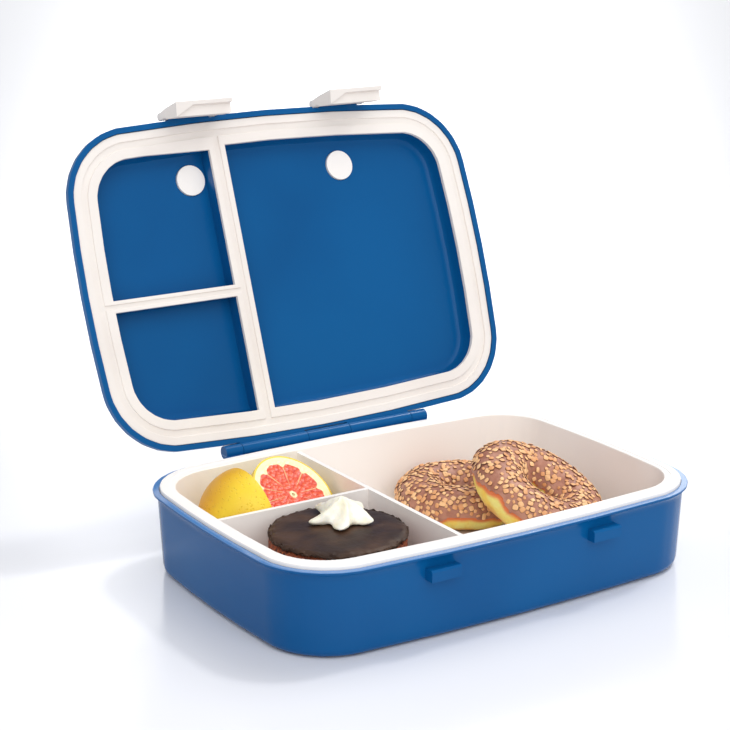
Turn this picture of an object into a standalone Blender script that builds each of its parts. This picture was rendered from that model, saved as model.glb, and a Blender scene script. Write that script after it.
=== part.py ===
import math
import random

import bmesh
import bpy
import numpy as np
from mathutils import Matrix, Vector

# All lengths are in millimetres until a mesh is written in metres.
MM = 0.001
GAP = 0.3

# Outline of the box: half sizes, the large radii of its crowned sides, the corner radius.
BOX = (135.0, 95.27, 729.9, 1354.2, 41.76)
WELL = (123.4, 81.7, 718.3, 1340.6, 30.0)
SIDE_STEPS = 2
CORNER_STEPS = 6

# Base
WALL = 2.2
FOOT_INSET = 4.5
FOOT_RADIUS = 4.0
COVE_Z = 40.5
FLANGE_Z = 45.3
FLANGE_TOP = 46.54
LEDGE_Z = 45.0
LUG_X = 51.0
LUG_HALF = 9.0
LUG_Z = (33.3, 39.5)
LUG_FRONT = -97.0

# Tray
RIM_TOP = 48.5
RIM_STEP = 0.35
TRAY_FLOOR = 4.7
TRAY_WALL = 2.0
TRAY_DRAFT = 3.0
TRAY_FILLET = 5.0
DIVIDER_TOP = 46.6
DIVIDER_X = (-31.0, -28.4)
DIVIDER_Y = (5.7, 8.3)

# Lid, in its closed place above the gasket plane
GASKET_Z = 48.9
GASKET_THICK = 2.5
GASKET_INSET = 2.35
LID_TOP = 15.0
PANEL_Z = 12.0
LID_SEAT = 2.8
WINDOW_INSET = 16.5
WINDOWS = ((-140.0, -41.0, -76.0, 4.0), (-140.0, -41.0, 10.8, 110.0), (-30.5, 140.0, -110.0, 110.0))
GROOVE = (7.0, 11.0)
GROOVE_DEEP = 1.2
DISC_X = 51.0
DISC_Y = -61.0
DISC_RADIUS = 9.0
DISC_Z = (10.6, 13.0)
OPEN_ANGLE = math.radians(-110.53)

# Hinge
HINGE_Y = 98.6
HINGE_Z = 48.19
BARREL = 3.8
HINGE_RELIEF = 4.3
PIN_RADIUS = 1.2
BORE_RADIUS = 1.5
BASE_KNUCKLES = ((-69.0, -58.15), (-14.35, 14.35), (58.15, 69.0))
LID_KNUCKLES = ((-57.85, -14.65), (14.65, 57.85))

# Latches
LATCH_HALF = 18.0
PIVOT_Y = -97.6
PIVOT_Z = 0.8
EYE_RADIUS = 2.2
ARM_X = 13.5
LID_EAR_HALF = 13.2
TRUNNION = 1.1
TRUNNION_HOLE = 1.45
TRUNNION_LONG = 2.9

# Food
CITRUS_CENTRE = (-61.0, 33.0, 41.5)
CITRUS_NORMAL = (0.2, -0.62, 0.757)
CITRUS_FACE = 25.5
CITRUS_DEEP = 38.0
RIND_CENTRE = (-88.0, 36.5, 32.6)
RIND_RADIUS = 27.5
RIND_FACING = (0.988, 0.069, 0.139)
RIND_CUT = 0.7
CAKE_CENTRE = (-74.4, -33.0)
CAKE_RADIUS = 36.4
CAKE_BOTTOM = 5.0
CAKE_TOP = 45.0
GLAZE_THICK = 3.0
STAR_CENTRE = (-66.5, -24.0)
STAR_TIPS = ((174, 20.0), (235, 20.5), (299, 18.5), (27, 23.5), (93, 21.5))
STAR_VALLEY = 11.0
STAR_TOP = 58.0
CAKE_STEPS = 30
# A doughnut: centre, radius of its ring, half width and half height of its section, tilt and its direction.
BACK_DOUGHNUT = {"centre": (54.0, 36.8, 17.4), "ring": 24.2, "wide": 15.0, "high": 12.4,
                 "tilt": 0.0, "toward": 0.0}
FRONT_DOUGHNUT = {"centre": (66.2, -19.0, 31.8), "ring": 26.0, "wide": 15.5, "high": 12.8,
                  "tilt": math.radians(29.1), "toward": math.radians(-54.4)}
DOUGH_INSET = 0.3
DOUGH_UNDER = 1.35
ICING_INNER = 1.0
NUTS_EACH = 15
NUT_TOP = 60.2
RING_STEPS = 28
TUBE_STEPS = 14


def clear_scene():
    for thing in list(bpy.data.objects):
        bpy.data.objects.remove(thing, do_unlink=True)


def material(name, colour, roughness, coat=0.0):
    made = bpy.data.materials.new(name)
    made.use_nodes = True
    shader = made.node_tree.nodes["Principled BSDF"]
    shader.inputs["Base Color"].default_value = (*colour, 1.0)
    shader.inputs["Roughness"].default_value = roughness
    shader.inputs["Coat Weight"].default_value = coat
    return made


def blue_plastic():
    return material("blue_plastic", (0.011, 0.107, 0.305), 0.35)


def white_plastic():
    return material("white_plastic", (0.93, 0.91, 0.87), 0.4)


def steel():
    return material("pin_steel", (0.6, 0.6, 0.62), 0.3)


def peel():
    return material("citrus_peel", (0.75, 0.51, 0.03), 0.45)


def citrus_flesh():
    return material("citrus_flesh", (0.82, 0.09, 0.03), 0.3)


def sponge():
    return material("cake_sponge", (0.19, 0.04, 0.017), 0.8)


def dark_glaze():
    return material("dark_glaze", (0.06, 0.045, 0.034), 0.35)


def cream():
    return material("cream", (0.95, 0.9, 0.75), 0.45)


def dough():
    return material("dough", (0.83, 0.58, 0.11), 0.7)


def icing():
    return material("icing", (0.3, 0.13, 0.08), 0.35)


def new_object(name, points, faces):
    mesh = bpy.data.meshes.new(name)
    mesh.from_pydata([tuple(float(v) * MM for v in p) for p in points], [], faces)
    body = bpy.data.objects.new(name, mesh)
    bpy.context.scene.collection.objects.link(body)
    work = bmesh.new()
    work.from_mesh(mesh)
    bmesh.ops.recalc_face_normals(work, faces=work.faces)
    work.to_mesh(mesh)
    work.free()
    return body


def outline(shape, off):
    # Quarter outline of arcs that meet tangentially, mirrored into the full ring.
    half_x, half_y, short_r, long_r, corner_r = shape
    side = np.array([half_x - short_r, 0.0])
    front = np.array([0.0, half_y - long_r])
    reach = np.linalg.norm(front - side)
    along = (front - side) / reach
    across = np.array([-along[1], along[0]])
    near, far = short_r - corner_r, long_r - corner_r
    step = (near ** 2 - far ** 2 + reach ** 2) / (2 * reach)
    rise = math.sqrt(near ** 2 - step ** 2)
    corner = max((side + along * step + across * rise * way for way in (1, -1)), key=sum)
    turn_a = math.atan2(*(corner - side)[::-1])
    turn_b = math.atan2(*(corner - front)[::-1])
    arcs = ((side, short_r, 0.0, turn_a, SIDE_STEPS),
            (corner, corner_r, turn_a, turn_b, CORNER_STEPS),
            (front, long_r, turn_b, math.pi / 2, SIDE_STEPS))
    quarter = []
    for centre, radius, start, end, steps in arcs:
        for k in range(steps):
            turn = start + (end - start) * k / steps
            quarter.append(centre + (radius + off) * np.array([math.cos(turn), math.sin(turn)]))
    quarter.append(np.array([0.0, half_y + off]))
    quarter = np.array(quarter)
    left = quarter[::-1][1:] * (-1, 1)
    upper = np.vstack([quarter, left])
    lower = upper[::-1][1:-1] * (1, -1)
    return np.vstack([upper, lower])


def ring(shape, off, z):
    flat = outline(shape, off)
    return np.column_stack([flat, np.full(len(flat), z)])


def loft(name, rings, wrap=False):
    count = len(rings[0])
    faces = []
    for k in range(len(rings) if wrap else len(rings) - 1):
        low, high = k * count, (k + 1) % len(rings) * count
        for i in range(count):
            j = (i + 1) % count
            faces.append((low + i, low + j, high + j, high + i))
    if not wrap:
        faces.append(tuple(range(count)))
        faces.append(tuple(range((len(rings) - 1) * count, len(rings) * count)))
    return new_object(name, np.vstack(rings), faces)


def block(x0, x1, y0, y1, z0, z1):
    corners = [np.array([(x0, y0, z), (x1, y0, z), (x1, y1, z), (x0, y1, z)]) for z in (z0, z1)]
    return loft("block", corners)


def prism(profile, x0, x1):
    ends = [np.array([(x, y, z) for y, z in profile]) for x in (x0, x1)]
    return loft("prism", ends)


def upright(profile, z0, z1):
    ends = [np.array([(x, y, z) for x, y in profile]) for z in (z0, z1)]
    return loft("upright", ends)


def rod(radius, x0, x1, y, z, sides=24):
    turns = [2 * math.pi * k / sides for k in range(sides)]
    return prism([(y + radius * math.cos(t), z + radius * math.sin(t)) for t in turns], x0, x1)


def apply_boolean(body, operation, tool=None, group=None):
    step = body.modifiers.new("Boolean", "BOOLEAN")
    step.operation = operation
    step.solver = "EXACT"
    if group is None:
        step.object = tool
    else:
        step.operand_type = "COLLECTION"
        step.collection = group
    bpy.context.view_layer.objects.active = body
    bpy.ops.object.modifier_apply(modifier=step.name)
    if tool is not None:
        bpy.data.objects.remove(tool, do_unlink=True)


def cut(body, tool):
    apply_boolean(body, "DIFFERENCE", tool)


def join(body, tool):
    apply_boolean(body, "UNION", tool)


def keep(body, tool):
    apply_boolean(body, "INTERSECT", tool)


def finish(body, name, look, smooth=35.0):
    body.name = name
    body.data.name = name
    body.data.materials.clear()
    body.data.materials.append(look)
    body.data.shade_smooth()
    body.data.set_sharp_from_angle(angle=math.radians(smooth))
    return body


def hang(body, pivot):
    # Gives a piece modelled in its closed place an origin on its own axis and opens it with the lid.
    hinge = Vector((0.0, HINGE_Y, HINGE_Z)) * MM
    point = Vector(pivot) * MM
    body.data.transform(Matrix.Translation(-point))
    turn = Matrix.Rotation(OPEN_ANGLE, 3, "X")
    body.location = hinge + turn @ (point - hinge)
    body.rotation_euler = (OPEN_ANGLE, 0.0, 0.0)


def base_shell():
    rings = []
    for k in range(4):
        turn = math.radians(30 * k)
        inset = FOOT_INSET + FOOT_RADIUS * (1 - math.sin(turn))
        rings.append(ring(BOX, -inset, FOOT_RADIUS * (1 - math.cos(turn))))
    outside = ((-2.7, COVE_Z), (-2.4, 42.6), (-1.5, 44.4), (0.0, FLANGE_Z), (0.0, FLANGE_TOP - 0.2),
               (-0.2, FLANGE_TOP), (-3.4, FLANGE_TOP))
    inside = ((-3.4, LEDGE_Z), (-6.5, LEDGE_Z), (-6.5, 42.6), (-2.7 - WALL, COVE_Z),
              (-FOOT_INSET - WALL, 5.0), (-FOOT_INSET - WALL - 2.8, WALL))
    for off, z in outside + inside:
        rings.append(ring(BOX, off, z))
    body = loft("base", rings)
    web = ((90.0, 40.0), (92.5, 40.0), (101.2, 45.5), (HINGE_Y, HINGE_Z), (95.6, 46.3), (92.4, 46.3),
           (92.4, 44.8), (90.0, 44.8))
    for x0, x1 in LID_KNUCKLES:
        cut(body, rod(HINGE_RELIEF, x0 - GAP, x1 + GAP, HINGE_Y, HINGE_Z))
    for x0, x1 in BASE_KNUCKLES:
        join(body, prism(web, x0, x1))
        join(body, rod(BARREL, x0, x1, HINGE_Y, HINGE_Z))
    bore_start = BASE_KNUCKLES[0][0] + 2.0
    cut(body, rod(BORE_RADIUS, bore_start, BASE_KNUCKLES[-1][1] + 1.0, HINGE_Y, HINGE_Z, 16))
    for side in (-1, 1):
        low, high = LUG_Z
        nose = ((-90.4, low), (LUG_FRONT, low), (LUG_FRONT, high - 1.0), (-96.2, high), (-90.4, high))
        join(body, prism(nose, side * LUG_X - LUG_HALF, side * LUG_X + LUG_HALF))
    return finish(body, "base_shell", blue_plastic())


def hinge_pin():
    start = BASE_KNUCKLES[0][0] + 2.0 + GAP
    body = rod(PIN_RADIUS, start, BASE_KNUCKLES[-1][1] - 0.5, HINGE_Y, HINGE_Z, 16)
    return finish(body, "hinge_pin", steel())


def well(top, shrink=0.0):
    # The inside of the tray before its dividers are left standing.
    deep = TRAY_FLOOR
    fillet = TRAY_FILLET
    rings = []
    for k in range(4):
        turn = math.radians(30 * k)
        inset = TRAY_DRAFT + fillet * (1 - math.sin(turn)) + shrink
        rings.append(ring(WELL, -inset, deep + fillet * (1 - math.cos(turn))))
    rings.append(ring(WELL, -shrink, RIM_TOP - 0.8))
    rings.append(ring(WELL, 0.8 - shrink, RIM_TOP))
    rings.append(ring(WELL, 0.8 - shrink, top))
    return loft("well", rings)


def tray():
    outer = TRAY_WALL - TRAY_DRAFT
    rings = [ring(WELL, outer - 5.0, TRAY_FLOOR - TRAY_WALL), ring(WELL, outer - 1.3, TRAY_FLOOR - 0.6),
             ring(WELL, outer, 8.5), ring(WELL, TRAY_WALL, FLANGE_Z)]
    for off, z in ((-3.75, FLANGE_Z), (-3.75, RIM_TOP - 0.9), (-4.05, RIM_TOP - 0.3), (-4.8, RIM_TOP),
                   (-8.6, RIM_TOP), (-8.9, RIM_TOP - RIM_STEP), (-9.6, RIM_TOP - RIM_STEP)):
        rings.append(ring(BOX, off, z))
    body = loft("tray", rings)
    x0, x1 = DIVIDER_X
    y0, y1 = DIVIDER_Y
    for box in ((-140, x0, -110, y0), (-140, x0, y1, 110), (x1, 140, -110, 110)):
        pocket = well(RIM_TOP + 6)
        keep(pocket, block(*box, 0, RIM_TOP + 5))
        cut(body, pocket)
    opening = well(RIM_TOP + 6)
    keep(opening, block(-140, 140, -110, 110, DIVIDER_TOP, RIM_TOP + 5))
    cut(body, opening)
    return finish(body, "tray", white_plastic())


def window(box, low, grow=0.0):
    profile = ((grow - WINDOW_INSET, low), (grow - WINDOW_INSET - 0.4, 8.5), (-18.3, 10.9), (-21.5, PANEL_Z))
    body = loft("window", [ring(BOX, off, GASKET_Z + z) for off, z in profile])
    x0, x1, y0, y1 = box
    keep(body, block(x0, x1, y0, y1, GASKET_Z - 10, GASKET_Z + 20))
    return body


def disc_edge(side, radius):
    turns = np.linspace(0, 2 * math.pi, 32, endpoint=False)
    return [(side * DISC_X + radius * math.cos(t), DISC_Y + radius * math.sin(t)) for t in turns]


def lid_shell():
    profile = ((-2.05, LID_SEAT), (-2.05, -0.8), (1.2, -0.8), (1.2, 2.8), (0.9, 3.1), (-1.5, 3.2),
               (-3.0, 10.0), (-3.9, 12.6), (-5.6, 14.4), (-8.0, LID_TOP))
    body = loft("lid", [ring(BOX, off, GASKET_Z + z) for off, z in profile])
    for box in WINDOWS:
        cut(body, window(box, LID_SEAT - 1.0))
    for side in (-1, 1):
        seat = disc_edge(side, DISC_RADIUS + GAP)
        cut(body, upright(seat, GASKET_Z + PANEL_Z - 1, GASKET_Z + DISC_Z[1] + GAP))
    for x0, x1 in BASE_KNUCKLES:
        cut(body, rod(HINGE_RELIEF, x0 - GAP, x1 + GAP, HINGE_Y, HINGE_Z))
    web = ((94.0, GASKET_Z + 0.2), (HINGE_Y, HINGE_Z - 1.0), (HINGE_Y, HINGE_Z + BARREL - 0.05),
           (94.0, HINGE_Z + BARREL - 0.05))
    for x0, x1 in LID_KNUCKLES:
        join(body, prism(web, x0, x1))
        join(body, rod(BARREL, x0, x1, HINGE_Y, HINGE_Z))
        cut(body, rod(BORE_RADIUS, x0 - 1, x1 + 1, HINGE_Y, HINGE_Z, 16))
    for side in (-1, 1):
        ears_for_latch(body, side * LUG_X)
    finish(body, "lid_shell", blue_plastic())
    hang(body, (0.0, HINGE_Y, HINGE_Z))
    return body


def ears_for_latch(body, x):
    level = GASKET_Z + PIVOT_Z
    for way in (-1, 1):
        ends = sorted((x + way * LID_EAR_HALF, x + way * (LATCH_HALF + 0.4)))
        cut(body, block(*ends, -110, -95.0, GASKET_Z - 3, GASKET_Z + 4.2))
    join(body, block(x - LID_EAR_HALF, x + LID_EAR_HALF, PIVOT_Y, -94.0, GASKET_Z - 0.8, level + EYE_RADIUS))
    join(body, rod(EYE_RADIUS, x - LID_EAR_HALF, x + LID_EAR_HALF, PIVOT_Y, level, 20))
    for way in (-1, 1):
        ends = sorted((x + way * (LID_EAR_HALF - 3.0), x + way * (LID_EAR_HALF + 1.0)))
        cut(body, rod(TRUNNION_HOLE, *ends, PIVOT_Y, level, 16))


def lid_gasket():
    body = loft("gasket", [ring(BOX, -GASKET_INSET, GASKET_Z + z) for z in (0.0, GASKET_THICK)])
    for box in WINDOWS:
        cut(body, window(box, -1.0))
    outer, inner = (-GROOVE[0], -GROOVE[1])
    low, high = GASKET_Z - 1.0, GASKET_Z + GROOVE_DEEP
    channel = loft("channel", [ring(BOX, outer, low), ring(BOX, outer, high), ring(BOX, inner, high),
                               ring(BOX, inner, low)], wrap=True)
    middle_x = (WINDOWS[0][1] + WINDOWS[2][0]) / 2
    middle_y = (WINDOWS[0][3] + WINDOWS[1][2]) / 2
    join(channel, block(middle_x - 1.9, middle_x + 1.9, -86.5, 86.5, low, high))
    join(channel, block(-126.0, middle_x, middle_y - 1.3, middle_y + 1.3, low, high))
    cut(body, channel)
    finish(body, "lid_gasket", white_plastic())
    hang(body, (0.0, HINGE_Y, HINGE_Z))
    return body


def lid_disc(side, name):
    body = upright(disc_edge(side, DISC_RADIUS), GASKET_Z + DISC_Z[0], GASKET_Z + DISC_Z[1])
    finish(body, name, white_plastic())
    hang(body, (0.0, HINGE_Y, HINGE_Z))
    return body


def latch(side, name):
    x = side * LUG_X
    level = GASKET_Z + PIVOT_Z
    profile = ((-99.8, 0.8), (-99.6, -2.0), (-100.3, -10.6), (-100.4, -23.9), (-92.2, -21.8),
               (-93.8, -10.1), (-95.5, -6.5), (-95.5, 0.8))
    body = prism([(y, GASKET_Z + z) for y, z in profile], x - LATCH_HALF, x + LATCH_HALF)
    join(body, rod(EYE_RADIUS, x - LATCH_HALF, x + LATCH_HALF, PIVOT_Y, level, 20))
    cut(body, block(x - ARM_X, x + ARM_X, -102, -92, GASKET_Z - 1.6, level + 4))
    cut(body, rod(EYE_RADIUS + 0.5, x - ARM_X, x + ARM_X, PIVOT_Y, level, 20))
    cut(body, block(x - 11, x + 11, -98.2, -90, GASKET_Z - 16, GASKET_Z - 5.5))
    scoop = ((x - LATCH_HALF + 10.9, -98.2), (x + LATCH_HALF + 1, -98.2), (x + LATCH_HALF + 1, -91.0),
             (x - LATCH_HALF - 2.2, -91.0))
    cut(body, upright(scoop, GASKET_Z - 26, GASKET_Z - 20.6))
    for way in (-1, 1):
        ends = sorted((x + way * (ARM_X - TRUNNION_LONG), x + way * (ARM_X + 1)))
        join(body, rod(TRUNNION, *ends, PIVOT_Y, level, 12))
    finish(body, name, white_plastic())
    hang(body, (x, PIVOT_Y, level))
    return body


def frame_along(normal):
    up = Vector(normal).normalized()
    return up.to_track_quat("Z", "Y").to_matrix().to_4x4()


def citrus_half():
    rings = []
    turns = np.linspace(0, 2 * math.pi, 30, endpoint=False)
    for slope in (0.0, 0.06, 0.25, 0.5, 0.8, 1.1, 1.35, 1.5):
        radius = CITRUS_FACE * math.cos(slope) if slope else CITRUS_FACE - 0.5
        z = -CITRUS_DEEP * math.sin(slope)
        rings.append(np.array([(radius * math.cos(t), radius * math.sin(t), z) for t in turns]))
    body = loft("citrus", rings)
    place = Matrix.Translation(Vector(CITRUS_CENTRE) * MM) @ frame_along(CITRUS_NORMAL)
    body.data.transform(place)
    return finish(body, "citrus_half", citrus_flesh())


def citrus_rind():
    rings = []
    turns = np.linspace(0, 2 * math.pi, 32, endpoint=False)
    start = math.asin(RIND_CUT / RIND_RADIUS)
    for slope in (start, start - 0.03, -0.2, -0.45, -0.7, -0.95, -1.2, -1.42):
        radius = RIND_RADIUS * math.cos(slope) - (0.6 if slope == start else 0.0)
        z = RIND_RADIUS * math.sin(slope) if slope != start else RIND_CUT
        rings.append(np.array([(radius * math.cos(t), radius * math.sin(t), z) for t in turns]))
    body = loft("rind", rings)
    place = Matrix.Translation(Vector(RIND_CENTRE) * MM) @ frame_along(RIND_FACING)
    body.data.transform(place)
    return finish(body, "citrus_rind", peel())


def round_ring(radii, z, turns):
    heights = z if hasattr(z, "__len__") else [z] * len(turns)
    cx, cy = CAKE_CENTRE
    places = zip(radii, heights, turns)
    return np.array([(cx + r * math.cos(t), cy + r * math.sin(t), h) for r, h, t in places])


def uneven(turns, base, swing, draw, waves=(2, 3, 5, 9)):
    total = np.zeros(len(turns))
    for wave in waves:
        total += np.sin(wave * turns + draw.uniform(0, 6.28)) / math.sqrt(wave)
    return base + swing * total / 2


def cake_sponge():
    draw = random.Random(4)
    turns = np.linspace(0, 2 * math.pi, CAKE_STEPS, endpoint=False)
    rings = []
    for z, radius in ((CAKE_BOTTOM, 33.5), (CAKE_BOTTOM + 2, 35.4), (18, 35.9), (31, 35.9), (33.2, 35.0),
                      (CAKE_TOP - GLAZE_THICK - 2.5, 34.9), (CAKE_TOP - GLAZE_THICK - GAP, 33.0)):
        rings.append(round_ring(uneven(turns, radius - 0.25, 0.25, draw), z, turns))
    return finish(loft("sponge", rings), "cake_sponge", sponge())


def cake_glaze():
    draw = random.Random(9)
    turns = np.linspace(0, 2 * math.pi, CAKE_STEPS, endpoint=False)
    hem = np.clip(uneven(turns, 38.2, 2.6, draw, (2, 5, 7, 11)), 34.2, 40.6)
    under = CAKE_TOP - GLAZE_THICK
    rim = uneven(turns, CAKE_RADIUS - 0.2, 0.35, draw)
    inner = np.full(len(turns), 35.55)
    rings = [round_ring([8.0] * CAKE_STEPS, CAKE_TOP + 0.1, turns),
             round_ring([26.0] * CAKE_STEPS, uneven(turns, CAKE_TOP - 0.1, 0.25, draw), turns),
             round_ring(rim - 2.0, uneven(turns, CAKE_TOP - 0.4, 0.3, draw), turns),
             round_ring(rim, uneven(turns, CAKE_TOP - 2.0, 0.4, draw), turns),
             round_ring(rim + 0.25, hem + 0.9, turns), round_ring(rim - 0.1, hem, turns),
             round_ring(inner, hem + 0.2, turns), round_ring(inner, under - 1.5, turns),
             round_ring(inner - 1.8, under + 0.1, turns), round_ring([8.0] * CAKE_STEPS, under + 0.1, turns)]
    return finish(loft("glaze", rings), "cake_glaze", dark_glaze())


def cream_star():
    turns = np.radians(np.arange(0, 360, 9.0))
    reach = []
    for t in turns:
        best = 0.0
        for angle, length in STAR_TIPS:
            away = (math.degrees(t) - angle + 180) % 360 - 180
            best = max(best, (length - STAR_VALLEY) * math.exp(-(away / 17.0) ** 2))
        reach.append(STAR_VALLEY + best)
    reach = np.array(reach)
    rings = []
    cx, cy = STAR_CENTRE
    levels = ((CAKE_TOP + 0.5, 0.86), (46.4, 0.98), (47.6, 1.0), (49.6, 0.84), (52.0, 0.62), (54.4, 0.42),
              (56.5, 0.23), (STAR_TOP, 0.06))
    for z, scale in levels:
        mellow = (1 - scale) * 0.5
        radii = scale * (reach * (1 - mellow) + reach.mean() * mellow)
        angles = turns + (z - CAKE_TOP) * 0.012
        points = [(cx + r * math.cos(t), cy + r * math.sin(t), z) for r, t in zip(radii, angles)]
        rings.append(np.array(points))
    return finish(loft("star", rings), "cream_star", cream(), 60.0)


def tube_point(spec, turn, slope, inset):
    across = spec["ring"] + (spec["wide"] - inset) * math.cos(slope)
    return (across * math.cos(turn), across * math.sin(turn), (spec["high"] - inset) * math.sin(slope))


def place_ring(spec):
    toward = spec["toward"]
    pivot = Vector((-math.sin(toward), math.cos(toward), 0.0))
    return Matrix.Translation(Vector(spec["centre"]) * MM) @ Matrix.Rotation(spec["tilt"], 4, pivot)


def doughnut_dough(name, spec):
    rings = []
    for i in range(RING_STEPS):
        turn = 2 * math.pi * i / RING_STEPS
        section = []
        for k in range(TUBE_STEPS):
            slope = 2 * math.pi * k / TUBE_STEPS
            covered = math.sin(slope) > -0.5
            section.append(tube_point(spec, turn, slope, DOUGH_UNDER if covered else DOUGH_INSET))
        rings.append(np.array(section))
    body = loft("dough", rings, wrap=True)
    body.data.transform(place_ring(spec))
    return finish(body, name, dough(), 50.0)


def icing_shell(spec, draw):
    grid = [math.pi * k / (TUBE_STEPS // 2) for k in range(TUBE_STEPS // 2 + 1)]
    turns = np.linspace(0, 2 * math.pi, RING_STEPS, endpoint=False)
    outer_hem = np.radians(np.clip(uneven(turns, -17, 9, draw, (3, 5, 8)), -27, -8))
    inner_hem = np.radians(np.clip(uneven(turns, 198, 6, draw, (2, 5)), 190, 206))
    rings = []
    for i, turn in enumerate(turns):
        section = [tube_point(spec, turn, outer_hem[i], 0.5)]
        section += [tube_point(spec, turn, slope, 0.0) for slope in grid]
        section += [tube_point(spec, turn, inner_hem[i], 0.5)]
        section += [tube_point(spec, turn, slope, ICING_INNER) for slope in grid[::-1]]
        rings.append(np.array(section))
    return loft("icing", rings, wrap=True)


def nut(spec, draw, turn, slope):
    # A chopped piece: a block with uneven corners, sunk into the icing.
    long, wide, high = draw.uniform(1.1, 1.7), draw.uniform(0.9, 1.3), draw.uniform(0.8, 0.95)
    layers = []
    for z in (-high, high):
        pinch = 0.75 if z > 0 else 1.0
        corners = [(sx * long * pinch, sy * wide * pinch) for sx, sy in ((-1, -1), (1, -1), (1, 1), (-1, 1))]
        points = [(x * draw.uniform(0.8, 1.1), y * draw.uniform(0.8, 1.1), z) for x, y in corners]
        layers.append(np.array(points))
    body = loft("nut", layers)
    spot = Vector(tube_point(spec, turn, slope, -0.2)) * MM
    away = spot - Vector(tube_point(spec, turn, slope, 3.0)) * MM
    spin = Matrix.Rotation(draw.uniform(0, math.pi), 4, "Z")
    body.data.transform(Matrix.Translation(spot) @ frame_along(away) @ spin)
    return body


def nearness(point, spec):
    # 1 on a doughnut's surface, more away from it
    local = place_ring(spec).inverted() @ point / MM
    return math.hypot((math.hypot(local.x, local.y) - spec["ring"]) / spec["wide"], local.z / spec["high"])


def doughnut_icing(name, spec, other, seed):
    draw = random.Random(seed)
    body = icing_shell(spec, draw)
    group = bpy.data.collections.new("nuts")
    bpy.context.scene.collection.children.link(group)
    placed = []
    place = place_ring(spec)
    while len(placed) < NUTS_EACH:
        turn = draw.uniform(0, 2 * math.pi)
        slope = math.radians(draw.uniform(12, 168))
        spot = Vector(tube_point(spec, turn, slope, 0.0)) * MM
        world = place @ spot
        crowded = any((spot - seen).length < 3.6 * MM for seen in placed)
        too_near = nearness(world, other) < 1.32
        if crowded or too_near or world.z > (NUT_TOP - 1.6) * MM:
            continue
        placed.append(spot)
        piece = nut(spec, draw, turn, slope)
        bpy.context.scene.collection.objects.unlink(piece)
        group.objects.link(piece)
    apply_boolean(body, "UNION", group=group)
    for piece in list(group.objects):
        bpy.data.objects.remove(piece, do_unlink=True)
    bpy.data.collections.remove(group)
    body.data.transform(place)
    return finish(body, name, icing(), 50.0)


def main():
    clear_scene()
    base_shell()
    hinge_pin()
    tray()
    citrus_half()
    citrus_rind()
    cake_sponge()
    cake_glaze()
    cream_star()
    doughnut_dough("doughnut_back_dough", BACK_DOUGHNUT)
    doughnut_icing("doughnut_back_icing", BACK_DOUGHNUT, FRONT_DOUGHNUT, 21)
    doughnut_dough("doughnut_front_dough", FRONT_DOUGHNUT)
    doughnut_icing("doughnut_front_icing", FRONT_DOUGHNUT, BACK_DOUGHNUT, 34)
    lid_shell()
    lid_gasket()
    lid_disc(-1, "lid_disc_left")
    lid_disc(1, "lid_disc_right")
    latch(-1, "latch_left")
    latch(1, "latch_right")


main()
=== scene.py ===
import bpy
import math
import random
from mathutils import Matrix, Vector
from mathutils.bvhtree import BVHTree


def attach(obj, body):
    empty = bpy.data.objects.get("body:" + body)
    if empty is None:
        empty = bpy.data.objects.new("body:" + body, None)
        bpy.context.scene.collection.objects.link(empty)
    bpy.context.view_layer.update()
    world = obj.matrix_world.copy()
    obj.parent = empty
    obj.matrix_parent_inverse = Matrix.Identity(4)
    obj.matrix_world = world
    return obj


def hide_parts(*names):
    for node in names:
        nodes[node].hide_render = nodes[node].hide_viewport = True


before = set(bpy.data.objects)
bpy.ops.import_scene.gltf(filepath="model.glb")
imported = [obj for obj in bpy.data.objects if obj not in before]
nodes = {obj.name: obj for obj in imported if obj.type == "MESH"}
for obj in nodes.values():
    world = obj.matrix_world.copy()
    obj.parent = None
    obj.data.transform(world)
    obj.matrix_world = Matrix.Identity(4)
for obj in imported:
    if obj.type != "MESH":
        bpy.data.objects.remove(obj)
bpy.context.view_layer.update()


def tone(red, green, blue):
    # screen colour, 0 to 255, to the linear value a shader takes
    parts = [v / 255 for v in (red, green, blue)]
    return tuple(v / 12.92 if v < 0.04045 else ((v + 0.055) / 1.055) ** 2.4 for v in parts)


class Wire:
    # one output of a shader node, usable in plain sums
    def __init__(self, paint, socket):
        self.paint = paint
        self.socket = socket

    def __add__(self, other):
        return self.paint.math("ADD", self, other)

    def __sub__(self, other):
        return self.paint.math("SUBTRACT", self, other)

    def __rsub__(self, other):
        return self.paint.math("SUBTRACT", other, self)

    def __mul__(self, other):
        return self.paint.math("MULTIPLY", self, other)

    def __pow__(self, other):
        return self.paint.math("POWER", self, other)

    __radd__ = __add__


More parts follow.
